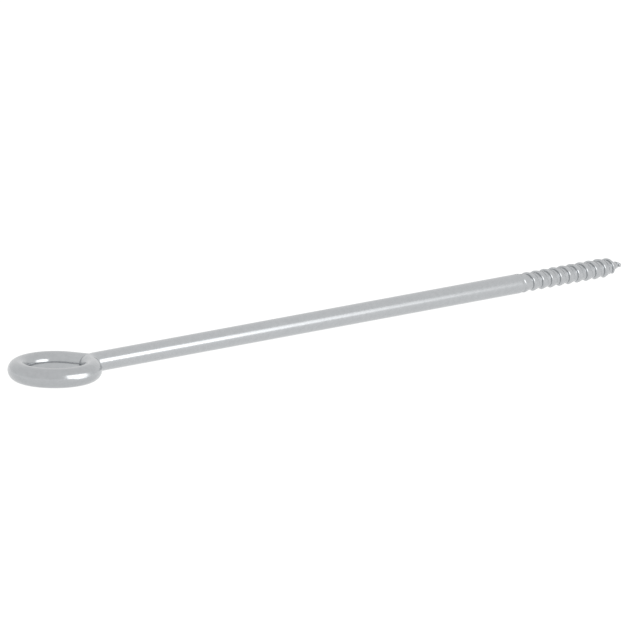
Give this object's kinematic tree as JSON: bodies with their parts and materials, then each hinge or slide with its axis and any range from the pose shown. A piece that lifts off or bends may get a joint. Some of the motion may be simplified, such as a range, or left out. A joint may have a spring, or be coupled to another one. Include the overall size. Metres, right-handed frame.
{
  "type": "screw eye",
  "caption": "Long steel screw eye: a closed round eye on a plain round shank that ends in a coarse right-hand wood thread with a sharp point.",
  "frame": {"origin": "the eye's centre, on the centre line of the rod", "axes": "+X along the shank, from the eye to the tip. +Z is square to the plane of the eye, so the part lies flat on its side. The rod runs on from the shank into the -Y half of the eye, and the free end closes on the neck from the +Y side."},
  "size_m": [0.39, 0.0476, 0.01],
  "materials": {
    "zinc_plated_steel": "satin zinc plating, a little mottled"
  },
  "bodies": {
    "root": {"screw_eye": "zinc_plated_steel"}
  },
  "joints": []
}
